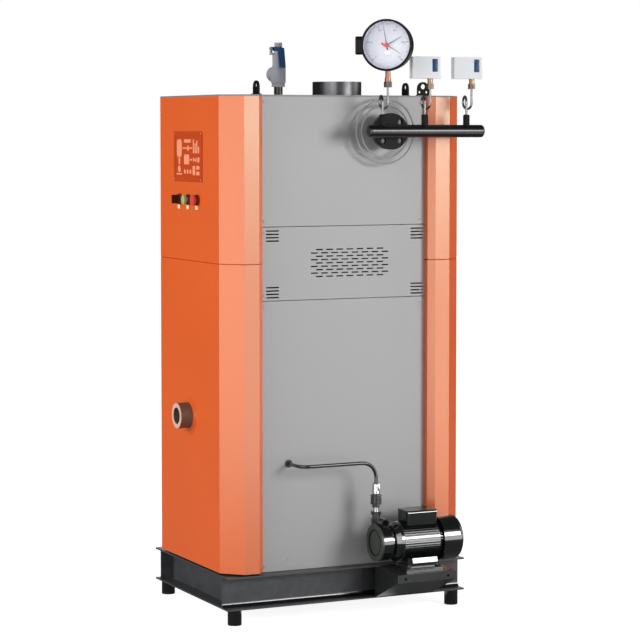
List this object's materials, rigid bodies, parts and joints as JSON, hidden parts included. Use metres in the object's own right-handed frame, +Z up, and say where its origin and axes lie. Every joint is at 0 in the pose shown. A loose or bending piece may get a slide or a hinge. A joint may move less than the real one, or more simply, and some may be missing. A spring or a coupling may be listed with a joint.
{
  "type": "industrial steam boiler",
  "caption": "Upright steam boiler in a folded steel cabinet with flue collar, safety valve, instrument header with dial gauge and pressure switches, and a side-mounted feed pump",
  "frame": {"origin": "on the floor, in the middle of the four pipe feet, under the middle of the cabinet", "axes": "+Z up; the front cover with the display faces -Y; the side with the steam header and the feed pump faces +X; the feet open towards -Z"},
  "size_m": [0.7308, 0.8738, 1.7992],
  "materials": {
    "base_frame": "dark grey satin paint",
    "feet": "black gloss paint",
    "inner_frame": "dark grey satin paint",
    "orange_cover": "orange powder coat",
    "grey_cover": "light grey powder coat",
    "lid": "grey powder coat",
    "lifting_lugs": "black paint",
    "zinc_screws": "zinc plated",
    "boiler_shell": "heat resistant primer",
    "furnace": "scaled steel plate",
    "smoke_tubes": "drawn steel tube",
    "flue_hood": "bright stainless sheet",
    "insulation_jacket": "mineral wool with facing",
    "blowdown_socket": "black gloss paint",
    "pipe_rosettes": "grey powder coat",
    "level_probes": "turned steel",
    "header": "black gloss paint",
    "siphons": "bright steel tube",
    "seals": "black sealing material",
    "gauge_stem": "turned brass",
    "gauge_case": "black enamel",
    "gauge_dial": "white dial enamel",
    "gauge_glass": "clear glass",
    "gauge_pointer": "black enamel",
    "gauge_low_hand": "red-brown enamel",
    "gauge_high_hand": "red-brown enamel",
    "switch_box": "white plastic",
    "valve_body": "nickelled bronze",
    "valve_lever": "blue paint",
    "valve_spindle": "turned brass",
    "valve_spring": "spring steel",
    "feed_tube": "black tube",
    "check_valve": "black and nickelled fittings",
    "pump_head": "black gloss paint",
    "pump_cover": "black gloss paint",
    "pump_impeller": "machined bronze",
    "motor_housing": "black gloss paint",
    "motor_stator": "varnished sheet pack",
    "motor_shaft": "ground steel",
    "steam_pipes": "black pipe paint",
    "motor_fan": "black plastic",
    "fan_cover": "black gloss paint",
    "terminal_box": "black gloss paint",
    "pump_bracket": "dark grey satin paint",
    "display_panel": "orange printed foil",
    "control_bezels": "dark plastic",
    "selector_knob": "black plastic",
    "start_button": "green plastic",
    "stop_button": "red plastic",
    "control_box": "grey sheet steel",
    "burner": "dark blue-grey paint",
    "burner_fan": "galvanised sheet",
    "fixing_bolts": "blackened steel"
  },
  "bodies": {
    "boiler": {"base_frame": "base_frame", "feet": "feet", "inner_frame": "inner_frame", "front_casing_lower": "orange_cover", "front_casing_upper": "orange_cover", "rear_casing_lower": "orange_cover", "rear_casing_upper": "orange_cover", "right_panel_upper": "grey_cover", "right_panel_vent": "grey_cover", "right_panel_lower": "grey_cover", "left_panels": "grey_cover", "lid": "lid", "lifting_lugs": "lifting_lugs", "panel_screws": "zinc_screws", "boiler_shell": "boiler_shell", "steam_pipes": "steam_pipes", "furnace": "furnace", "smoke_tubes": "smoke_tubes", "flue_hood": "flue_hood", "insulation_jacket": "insulation_jacket", "blowdown_socket": "blowdown_socket", "pipe_rosettes": "pipe_rosettes", "level_probes": "level_probes", "header": "header", "siphons": "siphons", "seals": "seals", "gauge_stem": "gauge_stem", "gauge_case": "gauge_case", "gauge_dial": "gauge_dial", "gauge_glass": "gauge_glass", "pressure_switch_1": "switch_box", "pressure_switch_2": "switch_box", "valve_body": "valve_body", "valve_spring": "valve_spring", "feed_tube": "feed_tube", "check_valve": "check_valve", "pump_head": "pump_head", "pump_cover": "pump_cover", "motor_housing": "motor_housing", "motor_stator": "motor_stator", "fan_cover": "fan_cover", "terminal_box": "terminal_box", "pump_bracket": "pump_bracket", "display_panel": "display_panel", "control_bezels": "control_bezels", "control_box": "control_box", "burner": "burner", "fixing_bolts": "fixing_bolts"},
    "pointer": {"gauge_pointer": "gauge_pointer"},
    "low_hand": {"gauge_low_hand": "gauge_low_hand"},
    "high_hand": {"gauge_high_hand": "gauge_high_hand"},
    "lever": {"valve_lever": "valve_lever"},
    "spindle": {"valve_spindle": "valve_spindle"},
    "selector": {"selector_knob": "selector_knob"},
    "start": {"start_button": "start_button"},
    "stop": {"stop_button": "stop_button"},
    "rotor": {"motor_shaft": "motor_shaft", "pump_impeller": "pump_impeller", "motor_fan": "motor_fan"},
    "blower": {"burner_fan": "burner_fan"}
  },
  "joints": [
    {"name": "pressure_reading", "type": "hinge", "parent": "boiler", "child": "pointer", "pos_m": [0.372, 0.0885, 1.722], "axis": [0.7771, -0.6293, 0], "range_deg": [-150, 120]},
    {"name": "low_limit", "type": "hinge", "parent": "boiler", "child": "low_hand", "pos_m": [0.372, 0.0885, 1.722], "axis": [0.7771, -0.6293, 0], "range_deg": [-10, 230]},
    {"name": "high_limit", "type": "hinge", "parent": "boiler", "child": "high_hand", "pos_m": [0.372, 0.0885, 1.722], "axis": [0.7771, -0.6293, 0], "range_deg": [-70, 170]},
    {"name": "test_lever", "type": "hinge", "parent": "boiler", "child": "lever", "pos_m": [-0.017, -0.101, 1.72137], "axis": [0, -1, 0], "range_deg": [0, 14]},
    {"name": "valve_lift", "type": "slide", "parent": "boiler", "child": "spindle", "axis": [0, 0, 1], "range_m": [0, 0.0045], "stiffness_N_per_m": 120, "deforming": ["valve_spring"]},
    {"name": "selector_turn", "type": "hinge", "parent": "boiler", "child": "selector", "pos_m": [-0.07, -0.4, 1.259], "axis": [0, -1, 0], "range_deg": [-45, 45]},
    {"name": "start_press", "type": "slide", "parent": "boiler", "child": "start", "axis": [0, 1, 0], "range_m": [0, 0.004], "stiffness_N_per_m": 800},
    {"name": "stop_press", "type": "slide", "parent": "boiler", "child": "stop", "axis": [0, 1, 0], "range_m": [0, 0.004], "stiffness_N_per_m": 800},
    {"name": "pump_spin", "type": "hinge", "parent": "boiler", "child": "rotor", "pos_m": [0.36, 0.2, 0.2295], "axis": [0, 1, 0], "continuous": true},
    {"name": "blower_spin", "type": "hinge", "parent": "boiler", "child": "blower", "pos_m": [0, -0.304, 0.405], "axis": [1, 0, 0], "continuous": true}
  ],
  "couplings": [
    {"joint": "valve_lift", "follows": "test_lever", "m_per_rad": 0.017}
  ]
}
